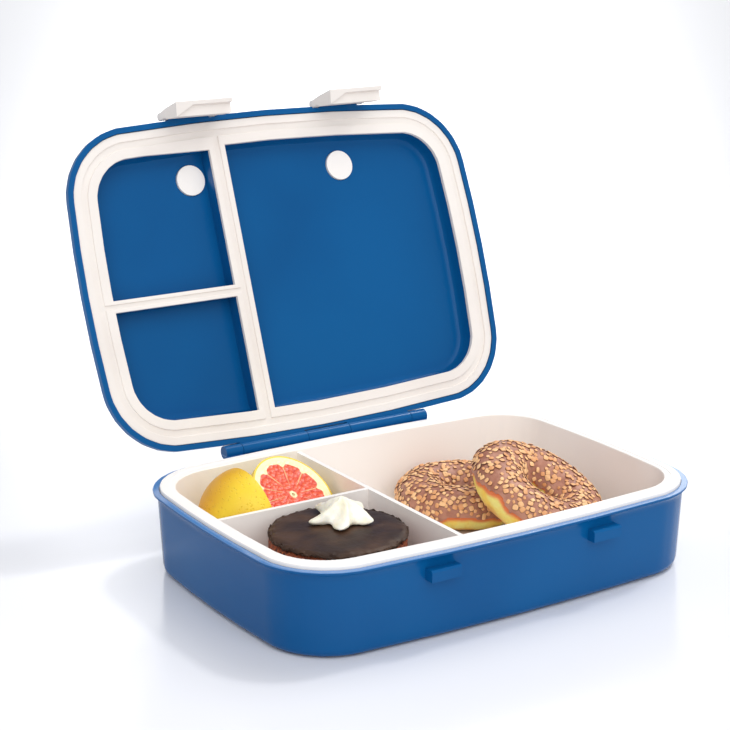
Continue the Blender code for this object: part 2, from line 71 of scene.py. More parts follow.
class Paint:
    def __init__(self, name):
        self.material = bpy.data.materials.new(name)
        self.material.use_nodes = True
        self.tree = self.material.node_tree
        self.shader = self.tree.nodes["Principled BSDF"]

    def feed(self, spot, value):
        if isinstance(value, Wire):
            self.tree.links.new(value.socket, spot)
        elif isinstance(value, tuple) and len(value) == 3 and spot.type == "RGBA":
            spot.default_value = (*value, 1.0)
        else:
            spot.default_value = value

    def surface(self, **values):
        for name, value in values.items():
            self.feed(self.shader.inputs[name.replace("_", " ")], value)

    def node(self, kind, out=0, inputs=None, **settings):
        made = self.tree.nodes.new(kind)
        for name, value in settings.items():
            setattr(made, name, value)
        for name, value in (inputs or {}).items():
            self.feed(made.inputs[name], value)
        return Wire(self, made.outputs[out])

    def math(self, kind, *values):
        return self.node("ShaderNodeMath", operation=kind, inputs=dict(enumerate(values)))

    def vector(self, kind, *values, out=0):
        return self.node("ShaderNodeVectorMath", out, dict(enumerate(values)), operation=kind)

    def place(self):
        return self.node("ShaderNodeTexCoord", "Object")

    def noise(self, scale, detail=3.0, rough=0.5, at=None):
        inputs = {"Vector": at or self.place(), "Scale": scale, "Detail": detail, "Roughness": rough}
        return self.node("ShaderNodeTexNoise", 0, inputs)

    def cells(self, scale):
        return self.node("ShaderNodeTexVoronoi", "Distance", {"Vector": self.place(), "Scale": scale})

    def ramp(self, value, low, high):
        inputs = {"Value": value, "From Min": low, "From Max": high}
        return self.node("ShaderNodeMapRange", "Result", inputs, interpolation_type="SMOOTHSTEP")

    def mix(self, factor, first, second):
        return self.node("ShaderNodeMix", 2, {0: factor, 6: first, 7: second}, data_type="RGBA")

    def attribute(self, name):
        return self.node("ShaderNodeAttribute", "Fac", attribute_name=name)

    def bump(self, height, distance):
        inputs = {"Height": height, "Distance": distance}
        self.feed(self.shader.inputs["Normal"], self.node("ShaderNodeBump", 0, inputs))
        return self


# small helpers for modelling

weldDistance = 0.000002  # points of a CAD mesh that are this near are joined


def deselect():
    active = bpy.context.view_layer.objects.active
    if active and active.mode != "OBJECT":
        bpy.ops.object.mode_set(mode="OBJECT")
    bpy.ops.object.select_all(action="DESELECT")


def pick(piece):
    deselect()
    piece.select_set(True)
    bpy.context.view_layer.objects.active = piece


def choose(piece, kind, test):
    # selects the faces or points that pass the test and leaves the piece in edit mode
    pick(piece)
    mesh = piece.data
    for parts in (mesh.vertices, mesh.edges, mesh.polygons):
        parts.foreach_set("select", [False] * len(parts))
    if kind == "FACE":
        faces = [face for face in mesh.polygons if test(face)]
        corners = {v for face in faces for v in face.vertices}
        sides = {key for face in faces for key in face.edge_keys}
        for face in faces:
            face.select = True
        mesh.vertices.foreach_set("select", [v.index in corners for v in mesh.vertices])
        mesh.edges.foreach_set("select", [edge.key in sides for edge in mesh.edges])
    else:
        mesh.vertices.foreach_set("select", [bool(test(v)) for v in mesh.vertices])
    bpy.context.tool_settings.mesh_select_mode = (kind == "VERT", False, kind == "FACE")
    bpy.ops.object.mode_set(mode="EDIT")


def leave():
    bpy.ops.object.mode_set(mode="OBJECT")


def apply(piece, kind, **settings):
    pick(piece)
    step = piece.modifiers.new(kind.title(), kind)
    for name, value in settings.items():
        setattr(step, name, value)
    bpy.ops.object.modifier_apply(modifier=step.name)


def roughen(piece, size, strength, depth=2, direction="NORMAL", group="", middle=0.5):
    cloud = bpy.data.textures.new("cloud", "CLOUDS")
    cloud.noise_scale = size
    cloud.noise_depth = depth
    apply(piece, "DISPLACE", texture=cloud, texture_coords="GLOBAL", strength=strength,
          direction=direction, vertex_group=group, mid_level=middle)


def smooth(piece, angle):
    pick(piece)
    bpy.ops.object.shade_smooth_by_angle(angle=math.radians(angle))


def settle(piece, name):
    pick(piece)
    bpy.ops.object.transform_apply(location=True, rotation=True, scale=True)
    piece.name = name
    piece.data.name = name


def pointGroup(piece, name, test):
    made = piece.vertex_groups.new(name=name)
    made.add([v.index for v in piece.data.vertices if test(v.co)], 1.0, "REPLACE")


def layer(mesh, name, values):
    mesh.attributes.new(name, "FLOAT", "POINT").data.foreach_set("value", values)


def finish(piece, paint, body, slot, *replaced):
    piece.data.materials.clear()
    piece.data.materials.append(paint.material)
    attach(piece, body)
    if replaced:
        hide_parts(*replaced)
    print("made", piece.name, len(piece.data.polygons), "faces")
    return piece


def cadCopy(node, name):
    piece = bpy.data.objects.new(name, nodes[node].data.copy())
    bpy.context.scene.collection.objects.link(piece)
    choose(piece, "VERT", lambda v: True)
    bpy.ops.mesh.remove_doubles(threshold=weldDistance)
    leave()
    return piece


# plastic

plastic = {
    "flat": 0.4, "sharp": 38, "blend": 30,  # degrees between faces that are joined, rounded or shaded as one
    "shell": 0.00045, "small": 0.0003, "steps": 2,  # how wide an edge is rounded, and in how many steps
    "facets": 6, "cuts": 3, "thinnest": 0.0000005,  # flats in a corner, and how many parts each is cut into
    "slack": 0.01, "onCut": 0.00003,  # radians beside a corner's arc, and beside a cut
    # half length, half width and the radii of the short side, the long side and the corner
    "box": (0.1350, 0.09527, 0.7299, 1.3542, 0.04176), "well": (0.1234, 0.0817, 0.7183, 1.3406, 0.0300),
    "outsideWell": 0.0365, "insideWell": 0.0345,
    "hinge": Vector((0.0, 0.0986, 0.04819)), "open": math.radians(110.53),
    "cloud": (0.35, 0.65),
    "blue": {"shades": (tone(4, 81, 139), tone(6, 88, 147)), "cloudy": 9.0, "grainy": 900.0,
             "gloss": 0.19, "uneven": 0.06, "mirror": 0.17, "relief": 0.000004},
    "white": {"shades": (tone(250, 245, 240), tone(253, 249, 245)), "cloudy": 14.0, "grainy": 1100.0,
              "gloss": 0.36, "uneven": 0.1, "mirror": 0.5, "relief": 0.000005},
    "seal": {"shades": (tone(236, 229, 223), tone(241, 235, 229)), "cloudy": 16.0, "grainy": 700.0,
             "gloss": 0.5, "uneven": 0.1, "mirror": 0.5, "relief": 0.000005},
    # painted highlight on the top edge of the base's flange: its colour is mixed toward a pale blue there,
    # paler than the rest, and it gets a clear coat
    "paintedGlint": {"top": 0.04654, "start": 0.0004, "full": 0.0001, "fade": 0.0002, "shade": tone(104, 156, 218),
            "share": 0.6, "coat": 0.12},
    "steel": {"shade": tone(190, 190, 195), "grainy": 500.0, "gloss": 0.25, "uneven": 0.2,
              "relief": 0.000005},
}


def plasticPaint(name, look, paintedGlint=None):
    paint = Paint(name)
    grain = paint.noise(look["grainy"], 2.0)
    cloud = paint.ramp(paint.noise(look["cloudy"], 2.0), *plastic["cloud"])
    colour = paint.mix(cloud, *look["shades"])
    # painted highlight: a thin band at the flange's top height is mixed toward the pale blue and given a
    # clear coat
    if paintedGlint:
        height = paint.vector("DOT_PRODUCT", paint.place(), (0.0, 0.0, 1.0), out="Value")
        below = paint.ramp(height, paintedGlint["top"] - paintedGlint["start"], paintedGlint["top"] - paintedGlint["full"])
        above = paint.ramp(height, paintedGlint["top"], paintedGlint["top"] + paintedGlint["fade"])
        edge = below * (1.0 - above)
        colour = paint.mix(edge * paintedGlint["share"], colour, paintedGlint["shade"])
        paint.surface(Coat_Weight=edge, Coat_Roughness=paintedGlint["coat"])
    paint.surface(Base_Color=colour, Roughness=look["gloss"] + grain * look["uneven"],
                  Specular_IOR_Level=look["mirror"])
    return paint.bump(grain, look["relief"])


def pinSteel():
    look = plastic["steel"]
    paint = Paint("pinSteel")
    grain = paint.noise(look["grainy"], 4.0)
    paint.surface(Base_Color=look["shade"], Metallic=1.0, Roughness=look["gloss"] + grain * look["uneven"])
    return paint.bump(grain, look["relief"])


def cornerOf(shape):
    # the centre of a corner's arc, and the turns where the arc starts and ends
    halfX, halfY, shortR, longR, cornerR = shape
    side = Vector((halfX - shortR, 0.0))
    front = Vector((0.0, halfY - longR))
    reach = (front - side).length
    along = (front - side) / reach
    across = Vector((-along.y, along.x))
    near, far = shortR - cornerR, longR - cornerR
    step = (near ** 2 - far ** 2 + reach ** 2) / (2 * reach)
    rise = math.sqrt(near ** 2 - step ** 2)
    centre = max((side + along * step + across * rise * way for way in (1, -1)), key=sum)
    away, ahead = centre - side, centre - front
    return centre, math.atan2(away.y, away.x), math.atan2(ahead.y, ahead.x)


def roundCorners(piece, shape, inner=0.0, outer=1.0):
    # cuts each flat of the four corners in three and moves the new points out onto the true arc
    centre, start, end = cornerOf(shape)
    facet = (end - start) / plastic["facets"]
    slack = plastic["slack"]
    for signX, signY in ((1, 1), (-1, 1), (1, -1), (-1, -1)):
        middle = Vector((signX * centre.x, signY * centre.y, 0))

        def local(point):
            return (point.x - middle.x) * signX, (point.y - middle.y) * signY

        def inside(point):
            x, y = local(point)
            return x > 0 and y > 0 and start - slack < math.atan2(y, x) < end + slack

        for k in range(plastic["facets"]):
            for cutAt in range(1, plastic["cuts"]):
                offset = (cutAt / plastic["cuts"] - 0.5) * facet
                turn = start + facet * (k + 0.5) + offset
                points = piece.data.vertices
                choose(piece, "FACE", lambda face: any(inside(points[v].co) for v in face.vertices))
                bpy.ops.mesh.bisect(plane_co=middle, threshold=plastic["thinnest"],
                                    plane_no=(-signY * math.sin(turn), signX * math.cos(turn), 0))
                leave()
                grow = math.cos(offset) / math.cos(facet / 2)
                for corner in piece.data.vertices:
                    x, y = local(corner.co)
                    if not (x > 0 and y > 0 and inner < math.hypot(x, y) < outer):
                        continue
                    if abs(math.atan2(y, x) - turn) < plastic["onCut"]:
                        corner.co.x = middle.x + x * grow * signX
                        corner.co.y = middle.y + y * grow * signY


def moulded(node, name, paint, body, slot, width):
    # the CAD shape with its joins cleaned and its edges rounded like a moulding
    piece = cadCopy(node, name)
    if node in ("base_shell", "lid_shell", "lid_gasket"):
        shut = Matrix()  # the lid's pieces are turned shut while their corners are rounded
        if body == "lid":
            shut = Matrix.Translation(plastic["hinge"]) @ Matrix.Rotation(plastic["open"], 4, "X")
            shut = shut @ Matrix.Translation(-plastic["hinge"])
        piece.data.transform(shut)
        roundCorners(piece, plastic["box"])
        piece.data.transform(shut.inverted())
    if node == "tray":
        roundCorners(piece, plastic["box"], inner=plastic["outsideWell"])
        roundCorners(piece, plastic["well"], outer=plastic["insideWell"])
    choose(piece, "FACE", lambda f: True)
    bpy.ops.mesh.dissolve_limited(angle_limit=math.radians(plastic["flat"]))
    leave()
    apply(piece, "BEVEL", width=width, segments=plastic["steps"], limit_method="ANGLE",
          angle_limit=math.radians(plastic["sharp"]), use_clamp_overlap=True, harden_normals=False)
    smooth(piece, plastic["blend"])
    apply(piece, "WEIGHTED_NORMAL", keep_sharp=True)
    finish(piece, paint, body, slot, node)


def makePlastic():
    blue = plasticPaint("bluePlastic", plastic["blue"])
    blueBasePaintedGlint = plasticPaint("blueBasePaintedGlint", plastic["blue"], plastic["paintedGlint"])
    white = plasticPaint("whitePlastic", plastic["white"])
    seal = plasticPaint("gasketPlastic", plastic["seal"])
    shell, small = plastic["shell"], plastic["small"]
    for node, name, paint, body, slot, width in (
            ("base_shell", "boxBase", blueBasePaintedGlint, "base", "blue_plastic", shell),
            ("tray", "dividedTray", white, "base", "white_plastic", shell),
            ("lid_shell", "boxLid", blue, "lid", "blue_plastic", shell),
            ("lid_gasket", "lidSeal", seal, "lid", "white_plastic", small),
            ("lid_disc_left", "ventLeft", white, "lid", "white_plastic", small),
            ("lid_disc_right", "ventRight", white, "lid", "white_plastic", small),
            ("latch_left", "latchLeft", seal, "latch_left", "white_plastic", shell),
            ("latch_right", "latchRight", seal, "latch_right", "white_plastic", shell),
            ("hinge_pin", "pin", pinSteel(), "base", "pin_steel", small)):
        moulded(node, name, paint, body, slot, width)


# doughnuts

doughnut = {
    "turns": 120, "sides": 56, "glaze": 0.0008, "ceiling": 0.0600,  # the ceiling is the shut lid's inside
    "underIcing": 0.0005, "underDough": 0.0006,
    "back": {"centre": Vector((0.0540, 0.0368, 0.0174)), "ring": 0.0242, "wide": 0.0150, "high": 0.0124,
             "tilt": 0.0, "toward": 0.0, "seed": 21, "bare": 237, "spread": 34, "rise": 13},
    "front": {"centre": Vector((0.0662, -0.0190, 0.0318)), "ring": 0.0260, "wide": 0.0155, "high": 0.0128,
              "tilt": math.radians(29.1), "toward": math.radians(-54.4), "seed": 34,
              "bare": 198, "spread": 46, "rise": 25},
    # slopes in degrees about the tube where the icing ends, and the waves along its two edges
    "hem": {"outer": -17, "waves": (3, 7, 12, 19), "swing": 2.8, "phase": 6.28,
            "inner": 200, "dips": (2, 5, 9), "sway": 3.0, "low": 26, "lowAt": 70, "lowSpread": 45,
            "faster": 3, "fasterTo": 30},
    "lumpSize": 0.015, "lumpHigh": 0.0018, "lumpMiddle": 0.72,
}

dough = {
    "fresh": (tone(242, 204, 84), tone(236, 222, 128)), "gold": (tone(206, 142, 66), tone(228, 172, 92)),
    "edge": tone(226, 122, 70),
    "edgeEnds": (4.0, 17.0), "goldStarts": (34.0, 60.0), "ragged": 9.0,  # degrees below the icing
}

icing = {"shades": (tone(160, 103, 81), tone(192, 137, 114)), "gloss": 0.36, "uneven": 0.15}

nut = {
    "count": 540, "tries": 14000, "apart": 0.0024, "kinds": 7, "kindSeed": 77, "seedStep": 5,
    "long": (0.0034, 0.0050), "wide": (0.0028, 0.0038), "thick": 0.0016, "uneven": 0.0004,
    "slopes": (-14, 185), "fromOuter": 9, "fromInner": 12,  # degrees about the tube
    "start": 0.0015, "lift": 0.0001,  # above the tube, where the icing is looked for, and above the icing
    "clear": 1.16, "under": 0.0012,  # room to the other doughnut in tube radii, and below the ceiling
    "lean": 0.1, "spin": 6.28, "scale": (0.48, 0.94),
    "shades": (tone(226, 160, 106), tone(255, 208, 152)),
    # side is painted shade: the flakes' sides and undersides are darkened toward it
    "fleck": tone(206, 138, 92), "side": tone(96, 52, 36),
}


def closeTo(turn, middle, spread):
    # 1 in the middle direction, falling to 0 away from it
    away = (math.degrees(turn) - middle + 180) % 360 - 180
    return math.exp(-(away / spread) ** 2)


def hems(spec, turn):
    # where the icing ends outside and inside, as slopes in degrees about the tube
    hem = doughnut["hem"]
    draw = random.Random(spec["seed"])
    wave = sum(math.sin(w * turn + draw.uniform(0, hem["phase"])) for w in hem["waves"])
    dip = sum(math.sin(w * turn + draw.uniform(0, hem["phase"])) for w in hem["dips"])
    outer = hem["outer"] + hem["swing"] * wave + spec["rise"] * closeTo(turn, spec["bare"], spec["spread"])
    inner = hem["inner"] + hem["sway"] * dip - hem["low"] * closeTo(turn, hem["lowAt"], hem["lowSpread"])
    return outer, inner


def slopeOf(point, spec):
    across = (math.hypot(point.x, point.y) - spec["ring"]) / spec["wide"]
    slope = math.degrees(math.atan2(point.z / spec["high"], across))
    return slope + 360 if slope < -90 else slope


def belowHem(point, spec):
    # degrees past the nearer edge of the icing, negative under it, and counted faster in the hole
    hem = doughnut["hem"]
    outer, inner = hems(spec, math.atan2(point.y, point.x))
    slope = slopeOf(point, spec)
    past = slope - inner
    return max(outer - slope, past, min(past * hem["faster"], hem["fasterTo"]))


def ringStart(spec, inset):
    deselect()
    bpy.ops.mesh.primitive_torus_add(major_radius=spec["ring"], minor_radius=spec["wide"] - inset,
                                     major_segments=doughnut["turns"], minor_segments=doughnut["sides"])
    piece = bpy.context.object
    piece.scale.z = (spec["high"] - inset) / (spec["wide"] - inset)
    bpy.ops.object.transform_apply(scale=True)
    return piece


def ringPlace(spec):
    toward = spec["toward"]
    pivot = Vector((-math.sin(toward), math.cos(toward), 0.0))
    return Matrix.Translation(spec["centre"]) @ Matrix.Rotation(spec["tilt"], 4, pivot)


def lumps(piece):
    roughen(piece, doughnut["lumpSize"], doughnut["lumpHigh"], 2, middle=doughnut["lumpMiddle"])


def doughPaint():
    paint = Paint("friedDough")
    below = paint.attribute("below") + (paint.noise(140.0, 3.0) - 0.5) * dough["ragged"]
    patch = paint.noise(110.0, 4.0)
    fresh = paint.mix(paint.ramp(patch, 0.35, 0.65), *dough["fresh"])
    gold = paint.mix(paint.noise(240.0, 4.0), *dough["gold"])
    rim = paint.mix(paint.ramp(below, *dough["edgeEnds"]), dough["edge"], fresh)
    colour = paint.mix(paint.ramp(below, *dough["goldStarts"]), rim, gold)
    paint.surface(Base_Color=colour, Roughness=0.62, Subsurface_Weight=0.08,
                  Subsurface_Radius=(0.003, 0.0015, 0.0008))
    return paint.bump(paint.noise(420.0, 5.0), 0.0006)


def icingPaint():
    paint = Paint("nutIcing")
    shade = paint.noise(130.0, 4.0)
    colour = paint.mix(paint.ramp(shade, 0.3, 0.7), *icing["shades"])
    paint.surface(Base_Color=colour, Roughness=icing["gloss"] + shade * icing["uneven"],
                  Subsurface_Weight=0.05, Subsurface_Radius=(0.002, 0.001, 0.0006))
    return paint.bump(paint.noise(500.0, 4.0), 0.0004)


def nutPaint():
    paint = Paint("choppedNuts")
    light = paint.mix(paint.attribute("shade"), *nut["shades"])
    fleck = paint.mix(paint.ramp(paint.noise(700.0, 3.0), 0.5, 0.7) * 0.4, light, nut["fleck"])
    # painted shade: the flake goes toward side where its surface turns away from up
    colour = paint.mix(paint.ramp(paint.attribute("rim"), 0.3, 0.75), fleck, nut["side"])
    paint.surface(Base_Color=colour, Roughness=0.5)
    return paint.bump(paint.noise(900.0, 3.0), 0.0003)


def makeDough(name, spec, node, paint):
    piece = ringStart(spec, doughnut["underDough"])
    layer(piece.data, "below", [belowHem(v.co, spec) for v in piece.data.vertices])
    piece.matrix_world = ringPlace(spec)
    settle(piece, name)
    lumps(piece)
    smooth(piece, 80)
    finish(piece, paint, "base", "dough", node)


def makeIcing(name, spec, node, paint):
    piece = ringStart(spec, doughnut["underIcing"])
    choose(piece, "FACE", lambda face: belowHem(face.center, spec) > 0)
    bpy.ops.mesh.delete(type="FACE")
    leave()
    apply(piece, "SMOOTH", factor=0.5, iterations=3)
    piece.matrix_world = ringPlace(spec)
    settle(piece, name)
    lumps(piece)
    apply(piece, "SOLIDIFY", thickness=doughnut["glaze"], offset=1.0)
    roughen(piece, size=0.006, strength=0.0004)
    smooth(piece, 80)
    return finish(piece, paint, "base", "icing", node)


def nutShape(draw, index):
    # a flat flake with rounded, uneven corners
    deselect()
    bpy.ops.mesh.primitive_cube_add(size=1.0)
    piece = bpy.context.object
    piece.scale = (draw.uniform(*nut["long"]), draw.uniform(*nut["wide"]), nut["thick"])
    bpy.ops.object.transform_apply(scale=True)
    choose(piece, "VERT", lambda v: True)
    bpy.ops.mesh.subdivide(number_cuts=1)
    bpy.ops.transform.vertex_random(offset=nut["uneven"], seed=index)
    leave()
    apply(piece, "SUBSURF", levels=1, render_levels=1)
    # rim grows as a face turns away from the flake's top; it drives the painted shade on its sides and
    # underside
    layer(piece.data, "rim", [1 - max(v.normal.z, 0) for v in piece.data.vertices])
    return piece


def onTube(spec, turn, slope):
    # a point on the tube and the direction away from it there
    reach = spec["ring"] + spec["wide"] * math.cos(slope)
    point = Vector((reach * math.cos(turn), reach * math.sin(turn), spec["high"] * math.sin(slope)))
    slant = Vector((math.cos(slope) / spec["wide"], math.sin(slope) / spec["high"]))
    return point, Vector((slant.x * math.cos(turn), slant.x * math.sin(turn), slant.y)).normalized()


def scatterNuts(name, spec, other, skin, paint, kinds):
    draw = random.Random(spec["seed"] + nut["seedStep"])
    place = ringPlace(spec)
    otherBack = ringPlace(other).inverted()
    tree = BVHTree.FromPolygons([v.co for v in skin.data.vertices], [f.vertices for f in skin.data.polygons])
    pieces = []
    taken = []
    for _ in range(nut["tries"]):
        if len(pieces) == nut["count"]:
            break
        turn = draw.uniform(0, 2 * math.pi)
        degrees = draw.uniform(*nut["slopes"])
        slope = math.radians(degrees)
        outer, inner = hems(spec, turn)
        reach = spec["ring"] + spec["wide"] * math.cos(slope)
        if draw.random() > reach / (spec["ring"] + spec["wide"]):
            continue
        if degrees < outer + nut["fromOuter"] or degrees > inner - nut["fromInner"]:
            continue
        local, rise = onTube(spec, turn, slope)
        spot, outward, _, _ = tree.find_nearest(place @ (local + rise * nut["start"]))
        spot = spot + outward * nut["lift"]
        away = otherBack @ spot
        across = (math.hypot(away.x, away.y) - other["ring"]) / other["wide"]
        near = math.hypot(across, away.z / other["high"])
        if near < nut["clear"] or spot.z > doughnut["ceiling"] - nut["under"]:
            continue
        if any((spot - old).length < nut["apart"] for old in taken):
            continue
        taken.append(spot)
        lean = Vector((draw.gauss(0, nut["lean"]), draw.gauss(0, nut["lean"]), draw.gauss(0, nut["lean"])))
        turnOut = (outward + lean).to_track_quat("Z", "Y").to_matrix().to_4x4()
        mesh = draw.choice(kinds).data.copy()
        spin = Matrix.Rotation(draw.uniform(0, nut["spin"]), 4, "Z")
        grow = Matrix.Scale(draw.uniform(*nut["scale"]), 4)
        mesh.transform(Matrix.Translation(spot) @ turnOut @ spin @ grow)
        layer(mesh, "shade", [draw.random()] * len(mesh.vertices))
        flake = bpy.data.objects.new("nut", mesh)
        bpy.context.scene.collection.objects.link(flake)
        pieces.append(flake)
    deselect()
    for flake in pieces:
        flake.select_set(True)
    bpy.context.view_layer.objects.active = pieces[0]
    bpy.ops.object.join()
    joined = bpy.context.object
    settle(joined, name)
    smooth(joined, 60)
    finish(joined, paint, "base", "icing")


def makeDoughnuts():
    doughs, icings, nuts = doughPaint(), icingPaint(), nutPaint()
    draw = random.Random(nut["kindSeed"])
    kinds = [nutShape(draw, k + 1) for k in range(nut["kinds"])]
    for side, across in (("back", "front"), ("front", "back")):
        spec = doughnut[side]
        makeDough(side + "Dough", spec, f"doughnut_{side}_dough", doughs)
        skin = makeIcing(side + "Icing", spec, f"doughnut_{side}_icing", icings)
        scatterNuts(side + "Nuts", spec, doughnut[across], skin, nuts, kinds)
    for kind in kinds:
        bpy.data.objects.remove(kind, do_unlink=True)


# cake

cake = {
    "centre": (-0.0744, -0.033), "radius": 0.0357, "bottom": 0.005, "top": 0.0417, "sides": 96,
    "edge": 0.0018, "grain": 0.0011, "crumbTop": 0.0335,
    # the glaze below hemBelow is drawn up, so that more of the side shows
    "hemBelow": 0.0412, "hemFrom": 0.0382, "hemTo": 0.0420, "hemShare": 0.45, "hemTop": 0.0432,
    "rimFrom": 0.0325,
    "cream": (-0.0665, -0.024), "creamHigh": 0.046, "twist": math.radians(26),
    # pore is painted shade for the holes in the crumb
    "crumb": (tone(104, 46, 30), tone(168, 84, 46)), "bright": tone(208, 122, 62), "pore": tone(70, 28, 20),
    "glaze": (tone(47, 27, 16), tone(78, 53, 36)),
    # the first whipped tone, darker and yellower, is painted shade in the cream's folds
    "whipped": (tone(250, 243, 216), tone(255, 252, 240)),
}


def spongePaint():
    paint = Paint("cakeCrumb")
    crumb = paint.noise(420.0, 5.0, 0.65)
    pores = paint.ramp(paint.cells(330.0), 0.1, 0.45)
    dark = paint.mix(paint.ramp(crumb, 0.35, 0.62), *cake["crumb"])
    light = paint.mix(paint.ramp(paint.noise(800.0, 3.0), 0.6, 0.72), dark, cake["bright"])
    # painted shade: the pores are darkened toward the pore colour, besides being sunk by the bump
    paint.surface(Base_Color=paint.mix(pores, cake["pore"], light), Roughness=0.75)
    return paint.bump(crumb + pores * 0.6, 0.0012)


def glazePaint():
    paint = Paint("cakeGlaze")
    swirl = paint.noise(60.0, 4.0)
    fine = paint.noise(600.0, 3.0)
    colour = paint.mix(paint.ramp(swirl, 0.35, 0.7), *cake["glaze"])
    paint.surface(Base_Color=colour, Roughness=0.4 + swirl * 0.2, Specular_IOR_Level=0.3)
    return paint.bump(swirl * 0.7 + fine * 0.15, 0.0008)


def creamPaint():
    paint = Paint("whippedCream")
    fold = paint.noise(120.0, 3.0)
    # painted shade: the colour goes toward the darker tone where the fold bump is low
    colour = paint.mix(paint.ramp(fold, 0.3, 0.7), *cake["whipped"])
    paint.surface(Base_Color=colour, Roughness=0.42, Subsurface_Weight=0.15,
                  Subsurface_Radius=(0.004, 0.003, 0.002))
    return paint.bump(fold, 0.0006)


def fromMiddle(spot):
    return math.hypot(spot.x - cake["centre"][0], spot.y - cake["centre"][1])


def makeSponge():
    deselect()
    x, y = cake["centre"]
    height = cake["top"] - cake["bottom"]
    bpy.ops.mesh.primitive_cylinder_add(vertices=cake["sides"], radius=cake["radius"], depth=height,
                                        location=(x, y, cake["bottom"] + height / 2))
    piece = bpy.context.object
    settle(piece, "cakeSponge")
    apply(piece, "BEVEL", width=cake["edge"], segments=3, limit_method="ANGLE")
    apply(piece, "REMESH", mode="VOXEL", voxel_size=cake["grain"])
    pointGroup(piece, "side", lambda spot: spot.z < cake["crumbTop"])
    roughen(piece, size=0.004, strength=0.0008, depth=3, group="side")
    roughen(piece, size=0.0012, strength=0.0006, group="side")
    smooth(piece, 80)
    finish(piece, spongePaint(), "base", "cake_sponge", "cake_sponge")


def makeGlaze():
    glaze = cadCopy("cake_glaze", "cakeGlaze")
    for corner in glaze.data.vertices:
        if corner.co.z < cake["hemBelow"]:
            corner.co.z = cake["hemTo"] + (corner.co.z - cake["hemFrom"]) * cake["hemShare"]
    apply(glaze, "SUBSURF", levels=3, render_levels=3)
    pointGroup(glaze, "hem", lambda spot: spot.z < cake["hemTop"])
    pointGroup(glaze, "rim", lambda spot: fromMiddle(spot) > cake["rimFrom"])
    roughen(glaze, size=0.0034, strength=0.0034, depth=3, direction="Z", group="hem", middle=0.35)
    roughen(glaze, size=0.0024, strength=0.0012, depth=3, group="hem")
    roughen(glaze, size=0.0050, strength=0.0013, depth=3, group="rim")
    roughen(glaze, size=0.014, strength=0.0007)
    smooth(glaze, 80)
    finish(glaze, glazePaint(), "base", "dark_glaze", "cake_glaze")


def makeCream():
    star = cadCopy("cream_star", "creamStar")
    middle = Matrix.Translation((*cake["cream"], cake["creamHigh"]))
    star.data.transform(middle.inverted())
    apply(star, "SUBSURF", levels=2, render_levels=2)
    apply(star, "SIMPLE_DEFORM", deform_method="TWIST", deform_axis="Z", angle=cake["twist"])
    star.data.transform(middle)
    roughen(star, size=0.0045, strength=0.0012)
    smooth(star, 70)
    finish(star, creamPaint(), "base", "cream", "cream_star")


# citrus

citrus = {
    "centre": Vector((-0.061, 0.033, 0.0415)), "normal": Vector((0.2, -0.62, 0.757)).normalized(),
    "face": 0.0255, "deep": 0.038, "faceCut": -0.0001, "peel": 0.0010, "pith": 0.0022,
    "ball": Vector((-0.088, 0.0365, 0.0326)), "round": 0.0275,
    "facing": Vector((0.988, 0.069, 0.139)).normalized(), "ballCut": 0.0007,
    "turns": 96, "rings": 64, "thinnest": 0.000001, "flat": 0.999, "manyCorners": 8, "nearCut": 0.0002,
    "skin": (tone(246, 216, 52), tone(238, 196, 34)), "dot": tone(214, 160, 24),
    "ripe": tone(222, 154, 24), "ripeToward": (-0.61, 0.61, 0.51), "ripeFrom": (0.006, 0.026),
    "white": (tone(250, 238, 180), tone(252, 246, 205)),
}

flesh = {
    "segments": 10, "offCentre": 0.001,
    "wall": (0.0001, 0.0006), "wallStarts": (0.004, 0.014),  # half thickness, and the radius where it starts
    "rim": (0.0203, 0.0209), "core": (0.0016, 0.0028), "hollow": (0.0004, 0.0012),
    "bow": -350000.0, "bowDepth": 0.0024,  # how narrowly and how far the rim runs in at each wall
    "sacs": (tone(238, 100, 40), tone(210, 48, 14)), "streak": tone(232, 78, 24),
    # hollowShade is painted shade for the hollow at the core
    "wallShade": tone(250, 204, 150), "rimShade": tone(250, 238, 184), "hollowShade": tone(186, 140, 84),
}


def acrossFace(paint):
    # the place on the cut face, along two directions from near its core
    normal = citrus["normal"]
    first = normal.cross(Vector((0, 0, 1))).normalized()
    second = normal.cross(first)
    core = citrus["centre"] + first * flesh["offCentre"]
    away = paint.vector("SUBTRACT", paint.place(), tuple(core))
    across = paint.vector("DOT_PRODUCT", away, tuple(first), out="Value")
    along = paint.vector("DOT_PRODUCT", away, tuple(second), out="Value")
    return across, along


